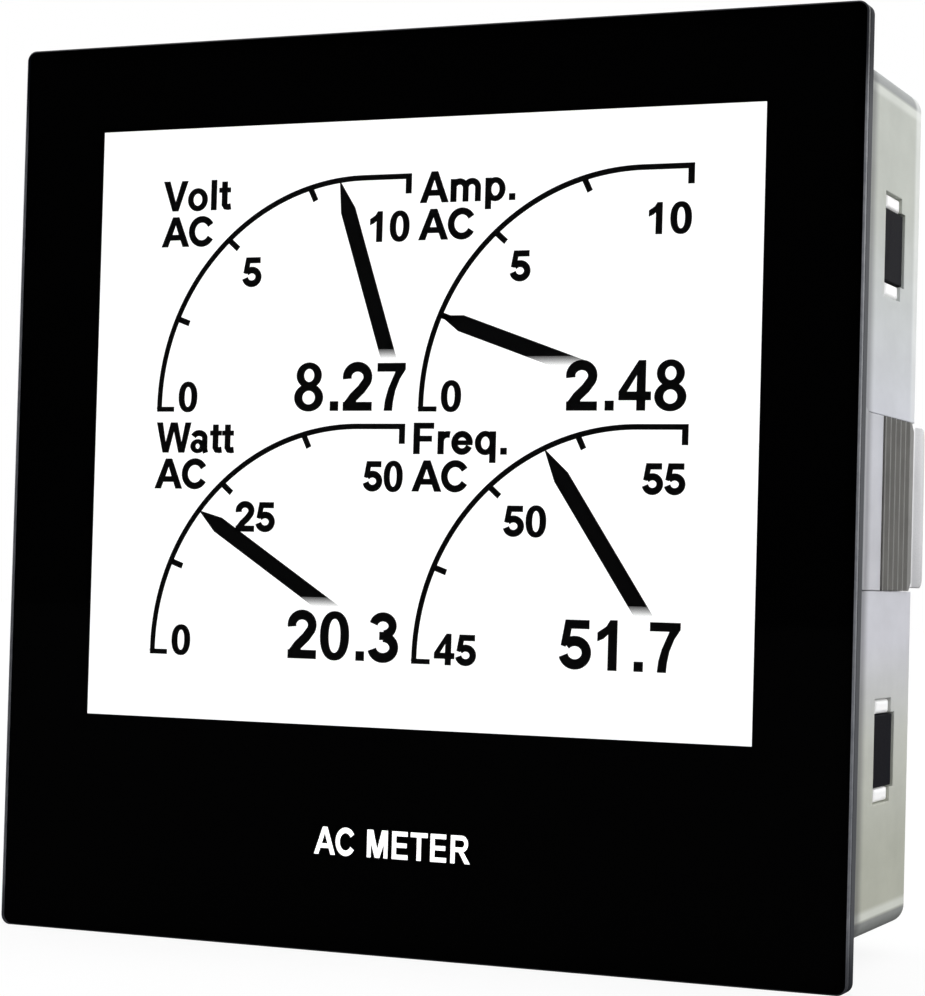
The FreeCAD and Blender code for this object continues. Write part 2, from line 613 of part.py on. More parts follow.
# ---- sliding clips that pull the bezel onto the panel
def clip_arm():
    """Runs in the channel. The foot, outside the cut-out, bears on the back of the panel."""
    inner = CHANNEL_FLOOR + 0.1
    outer = HALF_BODY + 0.05
    front = CLIP_FRONT + CLIP_FOOT_STEP
    foot_inner = CUTOUT / 2 - 0.05
    outline = [
        (inner, front),
        (foot_inner, front),
        (foot_inner, CLIP_FRONT),
        (CLIP_FOOT_X, CLIP_FRONT),
        (CLIP_FOOT_X - 0.1, CLIP_FRONT + 0.6),
        (outer, CLIP_FRONT + 6.4),
        (outer, GRIP_FRONT - 0.1),
        (GRIP_SEAT_X - SPRING_T, GRIP_FRONT - 0.1),
        (GRIP_SEAT_X - SPRING_T, CLIP_REAR),
        (inner, CLIP_REAR),
    ]
    rail = prism(outline, -CLIP_HALF_Z, CLIP_HALF_Z)
    tongue = block(
        inner, HALF_BODY - LIP_T - GAP, front, CLIP_REAR, -CLIP_TONGUE_HALF_Z, CLIP_TONGUE_HALF_Z
    )
    relief_z = RACK_HALF_Z + 0.4
    relief = block(inner - 1, CHANNEL_FLOOR + RACK_H + 0.1, 0, REAR, -relief_z, relief_z)
    seat_x = GRIP_SEAT_X - SPRING_T
    pawl_hole = block(inner - 1, seat_x, PAWL_FRONT - 0.4, PAWL_REAR + 0.9, -relief_z, relief_z)
    return join([rail, tongue]).cut(relief).cut(pawl_hole)


def clip_grip():
    """A ribbed pad on the outside of the clip, for thumb or screwdriver."""
    points = [(GRIP_SEAT_X, GRIP_FRONT), (GRIP_OUTER_X, GRIP_FRONT)]
    count = int((CLIP_REAR - GRIP_FRONT - 0.6) / GRIP_RIB_PITCH)
    for i in range(1, count + 1):
        y = GRIP_FRONT + i * GRIP_RIB_PITCH
        points += [(GRIP_OUTER_X - GRIP_RIB_DEPTH, y - 0.25), (GRIP_OUTER_X, y)]
    points += [(GRIP_OUTER_X, CLIP_REAR), (GRIP_SEAT_X, CLIP_REAR)]
    pad = prism(points, -CLIP_HALF_Z, CLIP_HALF_Z)
    for side in (-1, 1):
        corner = Part.makeBox(4, 4, 4, Vector(-2, -2, -2))
        corner.rotate(Vector(0, 0, 0), Vector(1, 0, 0), 45)
        reach = 2 * math.sqrt(2)
        corner.translate(Vector(GRIP_OUTER_X, CLIP_REAR - 0.7 + reach, side * CLIP_HALF_Z))
        pad = pad.cut(corner)
    return pad


def clip_spring():
    """A steel leaf under the grip: a lanced pawl that points back over the rack, and a lifting tab."""
    inner, outer = GRIP_SEAT_X - SPRING_T, GRIP_SEAT_X
    leaf = block(inner, outer, GRIP_FRONT, CLIP_REAR, -SPRING_HALF_Z, SPRING_HALF_Z)
    lance_z = PAWL_HALF_Z + 0.3
    lance = block(inner - 1, outer + 1, PAWL_FRONT, PAWL_REAR + 0.4, -lance_z, lance_z)
    tip_x = CHANNEL_FLOOR + RACK_H + 0.06
    outline = [
        (inner, PAWL_FRONT - 0.1),
        (outer, PAWL_FRONT - 0.1),
        (tip_x + 0.25, PAWL_REAR),
        (tip_x, PAWL_REAR - 0.1),
    ]
    pawl = prism(outline, -PAWL_HALF_Z, PAWL_HALF_Z)
    tab = bent_tab(inner, CLIP_REAR, SPRING_TAIL_Y, TAB_RISE)
    return join([leaf.cut(lance), pawl, tab])


def bent_tab(inner_x, y0, y1, rise):
    """An S-bend of two equal arcs that carries the leaf outwards by rise, with rounded end corners."""
    run = y1 - y0
    radius = (run * run + rise * rise) / (4 * rise)
    middle_y, middle_x = (y0 + y1) / 2, inner_x + rise / 2

    def s_curve(offset):
        first = radius - offset
        second = radius + offset
        start = Vector(inner_x + offset, y0, 0)
        end = Vector(inner_x + rise + offset, y1, 0)
        angle = math.asin((run / 2) / radius)
        bend_1 = Vector(inner_x + radius - first * math.cos(angle / 2), y0 + first * math.sin(angle / 2), 0)
        centre_2 = Vector(inner_x + rise - radius, y1, 0)
        bend_2 = Vector(centre_2.x + second * math.cos(angle / 2), y1 - second * math.sin(angle / 2), 0)
        joint = Vector(middle_x + offset * math.cos(angle), middle_y - offset * math.sin(angle), 0)
        return [Part.Arc(start, bend_1, joint).toShape(), Part.Arc(joint, bend_2, end).toShape()]

    inside, outside = s_curve(0.0), s_curve(SPRING_T)
    start_edge = Part.makeLine(inside[0].Vertexes[0].Point, outside[0].Vertexes[0].Point)
    end_edge = Part.makeLine(inside[1].Vertexes[1].Point, outside[1].Vertexes[1].Point)
    edges = Part.__sortEdges__(inside + outside + [start_edge, end_edge])
    face = Part.Face(Part.Wire(edges))
    tab = face.extrude(Vector(0, 0, 2 * SPRING_HALF_Z))
    tab.translate(Vector(0, 0, -SPRING_HALF_Z))
    end_corners = [
        e for e in tab.Edges if len(e.Vertexes) == 2 and all(v.Y > y1 - 0.01 for v in e.Vertexes)
        and abs(e.Vertexes[0].Z - e.Vertexes[1].Z) < 1e-6
    ]
    return tab.makeFillet(0.9, end_corners)


def clip_parts():
    shapes = {"clip_arm": clip_arm(), "clip_grip": clip_grip(), "clip_spring": clip_spring()}
    parts = {f"{name}_right": shape for name, shape in shapes.items()}
    parts.update({f"{name}_left": mirrored(shape) for name, shape in shapes.items()})
    return parts


def all_parts():
    parts = {
        "front_window": front_window(),
        "front_mask": front_mask(),
        "panel_gasket": panel_gasket(),
        "housing": housing(),
        "display_frame": display_frame(),
        "rear_label": rear_label(),
    }
    for group in (lcd_parts(), backlight_parts(), electronics(), button_parts(), usb_parts()):
        parts.update(group)
    parts.update(terminal_parts(MEASURING))
    parts.update(terminal_parts(SUPPLY))
    parts.update(clip_parts())
    return parts


os.makedirs("parts", exist_ok=True)
for part_name, part_shape in all_parts().items():
    export(part_name, part_shape)
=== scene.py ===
import json
import math

import bpy
from mathutils import Euler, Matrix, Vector
from mathutils.geometry import delaunay_2d_cdt


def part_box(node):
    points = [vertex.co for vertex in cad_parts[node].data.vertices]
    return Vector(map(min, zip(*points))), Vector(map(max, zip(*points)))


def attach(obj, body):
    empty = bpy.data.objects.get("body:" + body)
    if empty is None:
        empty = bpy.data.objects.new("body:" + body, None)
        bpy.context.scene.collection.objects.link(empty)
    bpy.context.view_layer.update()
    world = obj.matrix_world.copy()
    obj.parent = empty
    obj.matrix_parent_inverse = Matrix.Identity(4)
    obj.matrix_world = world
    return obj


# Looks for the square panel meter. Positions are written in millimetres in the CAD frame:
# X right, Z up as seen from the front, Y back through the panel.
MM = 0.001
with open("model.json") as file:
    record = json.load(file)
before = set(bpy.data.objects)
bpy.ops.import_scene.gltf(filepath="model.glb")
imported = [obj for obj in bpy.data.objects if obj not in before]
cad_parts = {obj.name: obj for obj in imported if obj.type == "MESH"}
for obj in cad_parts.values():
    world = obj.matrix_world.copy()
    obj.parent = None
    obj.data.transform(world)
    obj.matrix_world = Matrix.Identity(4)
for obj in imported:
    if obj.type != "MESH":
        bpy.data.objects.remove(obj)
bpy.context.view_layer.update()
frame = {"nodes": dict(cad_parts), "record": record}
scene = bpy.context.scene

WINDOW_BACK_Y = -1.6
PRINT_FRONT_Y = -1.45
PRINT_BACK_Y = -1.42
BLACK = (0.0032, 0.0032, 0.0034)
# black for the painted shade on the front edges towards the top and bottom
EDGE_SHADE_BLACK = (0.006, 0.007, 0.011)


# ---------------------------------------------------------------- node helpers
class Nodes:
    """The node tree of a new material or world. Most calls add a node and return the socket to go on from."""

    def __init__(self, name, owners=None):
        owners = bpy.data.materials if owners is None else owners
        self.owner = owners.new(name)
        self.owner.use_nodes = True
        self.tree = self.owner.node_tree
        self.tree.nodes.clear()

    def add(self, kind, inputs=(), **settings):
        node = self.tree.nodes.new("ShaderNode" + kind)
        for key, value in settings.items():
            setattr(node, key, value)
        for key, value in dict(inputs).items():
            self.put(value, node.inputs[key])
        return node

    def put(self, value, socket):
        if isinstance(value, bpy.types.NodeSocket):
            self.tree.links.new(value, socket)
        elif isinstance(value, (tuple, list)) and socket.type == "RGBA":
            socket.default_value = (*value[:3], 1.0)
        else:
            socket.default_value = value

    def place(self):
        """The object's own coordinates, in millimetres."""
        at = self.add("TexCoord").outputs["Object"]
        return self.add("VectorMath", {0: at, 1: (1 / MM,) * 3}, operation="MULTIPLY").outputs[0]

    def noise(self, at, scale, detail=4.0, rough=0.55, stretch=None):
        if stretch:
            at = self.add("VectorMath", {0: at, 1: stretch}, operation="MULTIPLY").outputs[0]
        return self.add(
            "TexNoise", {"Vector": at, "Scale": scale, "Detail": detail, "Roughness": rough}
        ).outputs["Fac"]

    def span(self, value, a, b, low=0.0, high=1.0, smooth=False):
        return self.add(
            "MapRange",
            {"Value": value, "From Min": a, "From Max": b, "To Min": low, "To Max": high},
            interpolation_type="SMOOTHSTEP" if smooth else "LINEAR",
        ).outputs["Result"]

    def math(self, operation, a, b=0.0, c=0.0):
        return self.add("Math", {0: a, 1: b, 2: c}, operation=operation).outputs[0]

    def mix(self, factor, a, b, blend="MIX"):
        node = self.add("Mix", data_type="RGBA", blend_type=blend)
        self.put(factor, node.inputs[0])
        self.put(a, node.inputs[6])
        self.put(b, node.inputs[7])
        return node.outputs[2]

    def grey(self, value):
        return self.add("CombineColor", {0: value, 1: value, 2: value}).outputs[0]

    def ramp(self, factor, stops):
        """A colour ramp with (position, colour) stops. A new ramp has two stops already, which come first."""
        node = self.add("ValToRGB", {"Fac": factor})
        elements = node.color_ramp.elements
        for i, (position, colour) in enumerate(stops):
            stop = elements[i] if i < 2 else elements.new(position)
            stop.position = position
            stop.color = (*colour, 1.0)
        return node.outputs["Color"]

    def rounded(self, radius):
        """The surface's normal with its edges rounded."""
        return self.add("Bevel", {"Radius": radius * MM}, samples=6).outputs[0]

    def worn_edges(self, at, radius, strength):
        """Up to strength along outside edges, patchy, and 0 on flat faces."""
        flat = self.add("NewGeometry").outputs["Normal"]
        same = self.add("VectorMath", {0: self.rounded(radius), 1: flat}, operation="DOT_PRODUCT")
        edge = self.span(same.outputs["Value"], 0.995, 0.86, 0.0, strength)
        return self.math("MULTIPLY", edge, self.span(self.noise(at, 1.4), 0.35, 0.65, 0.35, 1.0))

    def handled(self, at, grain, low, high):
        """A roughness from low to high that follows the grain, with rougher scuffs."""
        scuffs = self.noise(at, 0.9, 6.0, 0.75, (1.0, 1.0, 0.25))
        return self.math("ADD", self.span(grain, 0.3, 0.7, low, high), self.span(scuffs, 0.55, 0.8, 0.0, 0.1))

    def towards_ends(self, z, lowest):
        """1 near the front's top edge, lowest near its bottom edge and 0 between them."""
        top = self.span(z, 27.0, 33.0, smooth=True)
        return self.math("MAXIMUM", top, self.span(z, -31.0, -35.0, 0.0, lowest, smooth=True))

    def finish(self, shader, output="OutputMaterial"):
        self.tree.links.new(shader, self.add(output).inputs["Surface"])
        return self.owner


def surface(name, colour, rough, **look):
    """An opaque moulded, coated or metal surface with grain, uneven gloss, handling marks and worn edges."""
    n = Nodes(name)
    at = n.place()
    cloud = n.noise(at, look.get("cloud", 0.12), 3.0)
    grain = n.noise(at, look.get("grain", 6.0), 3.0, 0.7, look.get("stretch"))
    vary = look.get("vary", 0.08)
    tint = n.grey(n.span(cloud, 0.25, 0.75, 1.0 - vary, 1.0 + vary))
    base = n.mix(1.0, look.get("colour_socket", lambda _: colour)(n), tint, "MULTIPLY")
    edge = look.get("edge", 0.12)
    lighter = tuple(min(1.0, c * 1.5 + 0.02) for c in colour)
    worn = n.worn_edges(at, edge, look.get("wear", 0.35))
    base = n.mix(worn, base, look.get("edge_colour", lighter))
    bump = n.add(
        "Bump",
        {
            "Height": grain,
            "Strength": look.get("bump", 0.25),
            "Distance": look.get("depth", 0.02) * MM,
            "Normal": n.rounded(edge),
        },
    ).outputs[0]
    shader = n.add(
        "BsdfPrincipled",
        {
            "Base Color": base,
            "Roughness": n.handled(at, grain, rough - 0.05, rough + 0.07),
            "Metallic": look.get("metal", 0.0),
            "Normal": bump,
            "Specular IOR Level": look.get("specular", 0.5),
            "Anisotropic": look.get("anisotropic", 0.0),
        },
    )
    if look.get("through"):
        n.put(look["through"], shader.inputs["Subsurface Weight"])
        n.put((0.6, 0.6, 0.55), shader.inputs["Subsurface Radius"])
        n.put(MM, shader.inputs["Subsurface Scale"])
    # a glow from the look is painted light: the part gives off light though it is no lamp
    if look.get("glow"):
        n.put(base, shader.inputs["Emission Color"])
        n.put(look["glow"], shader.inputs["Emission Strength"])
    return n.finish(shader.outputs[0])


# ---------------------------------------------------------------- special materials
# The case's outside. Each pair is where a marking starts and where it is full: ACROSS and UP count from the
# middle outwards, BACK goes along Y.
SIDE_WALL_ACROSS = (32.8, 33.2)
CORNER_SHADE_ACROSS, CORNER_SHADE_UP = (32.0, 32.3), (32.05, 32.3)
CORNER_HIGHLIGHT_IN, CORNER_HIGHLIGHT_OUT = (31.2, 31.7), (32.25, 32.0)
FLANGE_EDGE_ACROSS = (34.6, 35.4)
FLANGE_SHADE_FRONT, FLANGE_SHADE_BACK = (2.0, 7.0), (10.0, 8.0)
REAR_HIGHLIGHT_BACK, REAR_HIGHLIGHT_Z = (20.4, 21.4), (2.0, 14.0)
REAR_RIM_SHADE_BACK = (22.2, 22.8)
ARM_ACROSS, ARM_UP, ARM_BACK = (33.5, 33.6), (6.84, 6.81), (12.8, 12.75)
CASE_HALF_H = 34.0
# the case's tones from bottom to top: yellower and darker towards both ends, the darkening being painted shade
CASE_TONES = [
    (0.00, (0.42, 0.425, 0.355)),
    (0.10, (0.43, 0.44, 0.37)),
    (0.23, (0.50, 0.51, 0.46)),
    (0.34, (0.56, 0.56, 0.60)),
    (0.58, (0.57, 0.58, 0.63)),
    (0.72, (0.53, 0.55, 0.55)),
    (0.85, (0.47, 0.49, 0.44)),
    (1.00, (0.46, 0.48, 0.43)),
]


def case_colour(n):
    """Pale grey, cooler at mid height and yellower towards both ends, with painted shade darkening both ends
    and the long rounded corners, and painted highlights, shadow and reflection on the side walls.
    """
    at = n.add("SeparateXYZ", {0: n.place()})
    x, y, z = (at.outputs[axis] for axis in "XYZ")
    across, up = n.math("ABSOLUTE", x), n.math("ABSOLUTE", z)
    base = n.ramp(n.span(z, -CASE_HALF_H, CASE_HALF_H), CASE_TONES)

    # a painted highlight along each side wall where it turns into its rounded corner, and painted shade on the
    # corner itself
    on_side = n.span(across, *SIDE_WALL_ACROSS)
    line = n.math("MULTIPLY", n.span(up, *CORNER_HIGHLIGHT_IN, smooth=True), n.span(up, *CORNER_HIGHLIGHT_OUT))
    base = n.mix(n.math("MULTIPLY", n.math("MULTIPLY", line, on_side), 0.6), base, (0.72, 0.74, 0.69))
    corner = n.math("MULTIPLY", n.span(up, *CORNER_SHADE_UP), n.span(across, *CORNER_SHADE_ACROSS))
    base = n.mix(n.math("MULTIPLY", corner, 0.85), base, (0.24, 0.25, 0.25))

    # a painted highlight: the upper side wall lightens towards the rear
    rear_highlight = n.math("MULTIPLY", n.span(y, *REAR_HIGHLIGHT_BACK, smooth=True), n.span(z, *REAR_HIGHLIGHT_Z, 0.0, 0.5))
    base = n.mix(n.math("MULTIPLY", rear_highlight, on_side), base, (0.86, 0.88, 0.86))

    # painted shadow and reflection: seen at a slant from the front, the side wall is coloured darker next to
    # the flange, standing in for the flange's shadow and the dark flange in the wall's gloss, and painted shade
    # darkens its rear rim
    slant = n.span(n.add("LayerWeight", {"Blend": 0.5}).outputs["Facing"], 0.15, 0.5)
    viewed_along = n.add("SeparateXYZ", {0: n.add("NewGeometry").outputs["Incoming"]}).outputs["Y"]
    slant = n.math("MULTIPLY", slant, n.span(viewed_along, -0.05, -0.3))
    flange_shade = n.math(
        "MULTIPLY",
        n.span(y, *FLANGE_SHADE_BACK, smooth=True),
        n.span(y, *FLANGE_SHADE_FRONT, 0.4, 1.0, smooth=True),
    )
    rear_rim_shade = n.span(y, *REAR_RIM_SHADE_BACK, 0.0, 0.35)
    dark = n.math("MAXIMUM", n.math("MULTIPLY", flange_shade, 0.6), rear_rim_shade)
    dark = n.math("MULTIPLY", n.math("MULTIPLY", dark, on_side), slant)
    base = n.mix(dark, base, (0.05, 0.05, 0.055))

    # painted shade: the clips' arms are coloured a shade darker than the wall around them, to tone down the
    # extra light their faces catch
    arm_shade = n.math("MULTIPLY", n.span(up, *ARM_UP), n.span(y, *ARM_BACK))
    arm_shade = n.math("MULTIPLY", arm_shade, n.span(across, *ARM_ACROSS))
    return n.mix(arm_shade, base, n.mix(1.0, base, (0.91, 0.905, 0.895), "MULTIPLY"))


def case_plastic():
    """The moulded case. The flange's outer edge is coloured dark grey, and painted shade turns it black towards
    the top and bottom ends.
    """
    n = Nodes("case_plastic")
    at = n.place()
    part = n.add("SeparateXYZ", {0: at})
    x, z = part.outputs["X"], part.outputs["Z"]
    beyond = n.math("MAXIMUM", n.math("ABSOLUTE", x), n.math("ABSOLUTE", z))
    # the flange's outer edge: dark grey, with painted shade turning it black towards the top and bottom
    edge_grey = n.mix(n.towards_ends(z, 0.8), (0.075, 0.078, 0.085), EDGE_SHADE_BLACK)
    cloud = n.noise(at, 0.2, 3.0)
    grain = n.noise(at, 9.0, 3.0, 0.7)
    streak = n.noise(at, 0.35, 4.0, 0.6, (1.0, 0.35, 1.0))
    tint = n.math("MULTIPLY", n.span(cloud, 0.25, 0.75, 0.95, 1.05), n.span(streak, 0.3, 0.7, 0.96, 1.04))
    base = n.mix(1.0, case_colour(n), n.grey(tint), "MULTIPLY")
    base = n.mix(n.worn_edges(at, 0.08, 0.16), base, (0.66, 0.67, 0.66))
    base = n.mix(n.span(beyond, *FLANGE_EDGE_ACROSS), base, edge_grey)
    relief = {"Height": grain, "Strength": 0.15, "Distance": 0.012 * MM, "Normal": n.rounded(0.12)}
    shader = n.add(
        "BsdfPrincipled",
        {
            "Base Color": base,
            "Roughness": n.handled(at, grain, 0.5, 0.62),
            "Specular IOR Level": n.span(beyond, *FLANGE_EDGE_ACROSS, 0.25, 0.04),
            "Normal": n.add("Bump", relief).outputs[0],
        },
    )
    return n.finish(shader.outputs[0])


GRIP_END_BACK, SPRING_END_BACK = (22.6, 23.3), (24.4, 25.1)


def spring_highlight_and_shade(n):
    """A painted highlight where the leaf leaves the grip, and painted shade that darkens it towards its end."""
    along = n.add("SeparateXYZ", {0: n.place()}).outputs["Y"]
    leaf = n.mix(n.span(along, *GRIP_END_BACK, smooth=True), (0.97, 0.97, 0.97), (0.40, 0.40, 0.41))
    return n.mix(n.span(along, *SPRING_END_BACK, smooth=True), leaf, (0.30, 0.30, 0.31))


def clear_window():
    """Clear front sheet: see-through faces with faint smears, and ground edges."""
    n = Nodes("clear_window")
    at = n.place()
    smear = n.noise(at, 0.09, 5.0, 0.6, (1.0, 1.0, 2.2))
    dust = n.span(n.noise(at, 2.6, 2.0, 0.4), 0.72, 0.8, 0.0, 0.35)
    rough = n.math("ADD", n.span(smear, 0.4, 0.7, 0.02, 0.09), n.math("MULTIPLY", dust, 0.2))
    gloss = n.add("BsdfGlossy", {"Color": (0.9, 0.9, 0.9), "Roughness": rough})
    clear = n.add("BsdfTransparent", {"Color": (1.0, 1.0, 1.0)})
    # only the outer faces mirror: light goes straight through the sheet, so its inner faces would turn
    # into full mirrors at a slant
    outer = n.math("SUBTRACT", 1.0, n.add("NewGeometry").outputs["Backfacing"])
    mirror = n.math("MULTIPLY", n.add("Fresnel", {"IOR": 1.42}).outputs[0], outer)
    face = n.add("MixShader", {0: mirror, 1: clear.outputs[0], 2: gloss.outputs[0]})
    normal = n.add("SeparateXYZ", {0: n.add("NewGeometry").outputs["Normal"]}).outputs["Y"]
    on_edge = n.span(n.math("ABSOLUTE", normal), 0.97, 0.85)
    # painted shade: the ground edges turn black towards the top and bottom
    ends = n.towards_ends(n.add("SeparateXYZ", {0: at}).outputs["Z"], 0.7)
    polished = n.mix(n.span(n.noise(at, 1.2), 0.3, 0.7), (0.12, 0.125, 0.14), (0.19, 0.195, 0.21))
    ground = n.add(
        "BsdfPrincipled",
        {
            "Base Color": n.mix(ends, polished, EDGE_SHADE_BLACK),
            "Roughness": n.span(n.noise(at, 5.0), 0.3, 0.7, 0.3, 0.5),
            "Specular IOR Level": 0.1,
        },
    )
    return n.finish(n.add("MixShader", {0: on_edge, 1: face.outputs[0], 2: ground.outputs[0]}).outputs[0])


def lit_display():
    """The front film of the lit display: even white and a touch weaker in the corners."""
    n = Nodes("lit_display")
    at = n.place()
    cloud = n.span(n.noise(at, 0.05, 2.0), 0.3, 0.7, 0.985, 1.0)
    centre = n.add("VectorMath", {0: at, 1: (0.0, 0.0, -SCREEN_Z)}, operation="ADD").outputs[0]
    reach = n.add("VectorMath", {0: centre}, operation="LENGTH").outputs["Value"]
    level = n.math("MULTIPLY", cloud, n.span(reach, 20.0, 42.0, 1.16, 1.1, smooth=True))
    rough = n.span(n.noise(at, 7.0, 2.0), 0.3, 0.7, 0.4, 0.55)
    film = n.add(
        "BsdfPrincipled",
        {
            "Base Color": (0.02, 0.02, 0.02),
            "Roughness": rough,
            "Specular IOR Level": 0.2,
            "Emission Color": n.mix(n.span(reach, 0.0, 40.0), (1.0, 1.0, 1.0), (0.99, 1.0, 1.0)),
            "Emission Strength": level,
        },
    )
    return n.finish(film.outputs[0])


def ink(name, colour, fade=0.0, glow=0.0):
    """A display segment or a printed mark. It thins out over the fade, in millimetres above its origin."""
    n = Nodes(name)
    at = n.place()
    uneven = n.span(n.noise(at, 3.0, 3.0), 0.3, 0.7, 0.9, 1.1)
    # a glow above 0 is painted light: the ink gives off light of its own
    solid = n.add(
        "BsdfPrincipled",
        {
            "Base Color": n.mix(1.0, colour, n.grey(uneven), "MULTIPLY"),
            "Roughness": n.span(n.noise(at, 8.0), 0.3, 0.7, 0.45, 0.7),
            "Specular IOR Level": 0.1,
            "Emission Color": colour,
            "Emission Strength": glow,
        },
    )
    shader = solid.outputs[0]
    if fade:
        height = n.add("SeparateXYZ", {0: at}).outputs["Z"]
        shown = n.math("MAXIMUM", n.span(height, 0.0, fade, 0.0, 0.7), n.span(height, fade - 0.03, fade))
        clear = n.add("BsdfTransparent")
        shader = n.add("MixShader", {0: shown, 1: clear.outputs[0], 2: shader}).outputs[0]
    return n.finish(shader)


def clear_plastic(name, colour, rough):
    """A clear moulded or glass sheet with a faint tint and a wavy surface."""
    n = Nodes(name)
    at = n.place()
    waves = {"Height": n.noise(at, 2.0), "Strength": 0.08, "Distance": 0.01 * MM}
    shader = n.add(
        "BsdfPrincipled",
        {
            "Base Color": n.mix(n.span(n.noise(at, 0.4), 0.3, 0.7), colour, tuple(c * 0.94 for c in colour)),
            "Roughness": n.span(n.noise(at, 4.0, 4.0), 0.3, 0.7, rough, rough + 0.08),
            "Transmission Weight": 0.9,
            "IOR": 1.49,
            "Normal": n.add("Bump", waves).outputs[0],
        },
    )
    return n.finish(shader.outputs[0])


# ---------------------------------------------------------------- flat outlines and prisms
def ribbon(points, half):
    """The outline of a line of even width along points, with square ends and mitred bends."""
    points = [Vector(p) for p in points]
    last = len(points) - 1
    left, right = [], []
    for i, p in enumerate(points):
        before = points[i] - points[i - 1] if i else points[1] - points[0]
        after = points[i + 1] - points[i] if i < last else points[last] - points[last - 1]
        a, b = before.normalized(), after.normalized()
        across = Vector((-(a + b).y, (a + b).x)).normalized()
        reach = half / max(0.35, across.dot(Vector((-a.y, a.x))))
        left.append(p + across * reach)
        right.append(p - across * reach)
    return [tuple(p) for p in left + right[::-1]]


def arc(cx, cy, rx, ry, start, end, steps=28):
    """Points on an ellipse from start to end, degrees."""
    angles = [math.radians(start + (end - start) * i / steps) for i in range(steps + 1)]
    return [(cx + rx * math.cos(a), cy + ry * math.sin(a)) for a in angles]


def oval(cx, cy, rx, ry, steps=40, power=2.0):
    """A closed oval. A power above 2 squares it off a little."""
    points = []
    for i in range(steps):
        a = 2 * math.pi * i / steps
        c, s = math.cos(a), math.sin(a)
        x = rx * math.copysign(abs(c) ** (2 / power), c)
        points.append((cx + x, cy + ry * math.copysign(abs(s) ** (2 / power), s)))
    return points


def rect(x0, x1, y0, y1):
    return [(x0, y0), (x1, y0), (x1, y1), (x0, y1)]


def turned_left(loop):
    """The loop in counter-clockwise order, which the filler needs."""
    area = sum(a[0] * b[1] - b[0] * a[1] for a, b in zip(loop, loop[1:] + loop[:1]))
    return loop if area > 0 else loop[::-1]


def swollen(loop, by):
    """The loop with every side moved outwards by a distance, or inwards when it is negative."""
    loop = [Vector(p) for p in turned_left(loop)]
    moved_out = []
    for i, p in enumerate(loop):
        before, after = (p - loop[i - 1]).normalized(), (loop[(i + 1) % len(loop)] - p).normalized()
        outward = Vector((before.y + after.y, -before.x - after.x))
        if outward.length < 1e-3:
            moved_out.append(tuple(p))
            continue
        outward.normalize()
        moved_out.append(tuple(p + outward * by / max(0.5, outward.dot(Vector((after.y, -after.x))))))
    return moved_out


def bolder(shapes, by):
    """The shapes with a line of even width added all round, holes included."""
    return [(swollen(outline, by), [swollen(hole, -by) for hole in holes]) for outline, holes in shapes]


def mapped(shapes, change):
    """The shapes with every point changed."""
    return [([change(p) for p in outline], [[change(p) for p in hole] for hole in holes])
            for outline, holes in shapes]


def filled(shapes):
    """Triangles that cover the union of shapes. Each shape is (outline, [hole outlines])."""
    points, faces, owners = [], [], []
    for outline, holes in shapes:
        group = []
        for loop in [outline] + list(holes):
            start = len(points)
            points += [Vector(p) for p in turned_left(loop)]
            group.append(len(faces))
            faces.append(list(range(start, len(points))))
        owners.append((group[0], set(group[1:])))
    verts, _, triangles, _, _, origins = delaunay_2d_cdt(points, [], faces, 1, 1e-5)
    kept = []
    for triangle, origin in zip(triangles, origins):
        inside = set(origin)
        if any(outer in inside and not inside & holes for outer, holes in owners):
            kept.append(triangle)
    return verts, kept


def prism_piece(name, shapes, y_front, y_back, material, origin=(0.0, 0.0), body="case"):
    """One closed flat piece facing -Y, cut from outlines given as (x, z) in millimetres."""
    verts, triangles = filled(shapes)
    used = sorted({i for t in triangles for i in t})
    place = {v: k for k, v in enumerate(used)}
    count = len(used)
    ox, oz = origin
    flat = [(verts[v].x - ox, verts[v].y - oz) for v in used]
    coords = [(x * MM, y * MM, z * MM) for y in (0.0, y_back - y_front) for x, z in flat]
    faces, edges = [], {}
    for t in triangles:
        a, b, c = (place[v] for v in t)
        (ax, az), (bx, bz), (cx, cz) = flat[a], flat[b], flat[c]
        if (bx - ax) * (cz - az) - (bz - az) * (cx - ax) < 0:
            b, c = c, b
        faces += [(a, b, c), (c + count, b + count, a + count)]
        for e in ((a, b), (b, c), (c, a)):
            edges[e] = True
    for a, b in edges:
        if (b, a) not in edges:
            faces.append((b, a, a + count, b + count))
    mesh = bpy.data.meshes.new(name)
    mesh.from_pydata(coords, [], faces)
    mesh.materials.append(material)
    piece = bpy.data.objects.new(name, mesh)
    piece.location = (ox * MM, y_front * MM, oz * MM)
    scene.collection.objects.link(piece)
    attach(piece, body)
    return piece


# ---------------------------------------------------------------- lettering
# Every glyph is drawn on a capital height of 1, as (shapes, advance).
DIGIT_ADVANCE, POINT_ADVANCE = 0.777, 0.39


def ring(cx, cy, rx, ry, wx, wy, power=2.0):
    return (oval(cx, cy, rx, ry, power=power), [oval(cx, cy, rx - wx, ry - wy, power=power)])


def solid(outline):
    return (outline, [])


def stem(x, top=1.0, bottom=0.0, width=0.19):
    return solid(rect(x, x + width, bottom, top))


def arch(x0, x1):
    """A small-letter arch from a stem at x0 to the outside of a stem at x1."""
    half = 0.09
    middle, radius = (x0 + x1 - half) / 2, (x1 - half - x0) / 2
    path = arc(middle, 0.44, radius, 0.21, 165, 0) + [(x1 - half, 0.0)]
    return solid(ribbon(path, half))


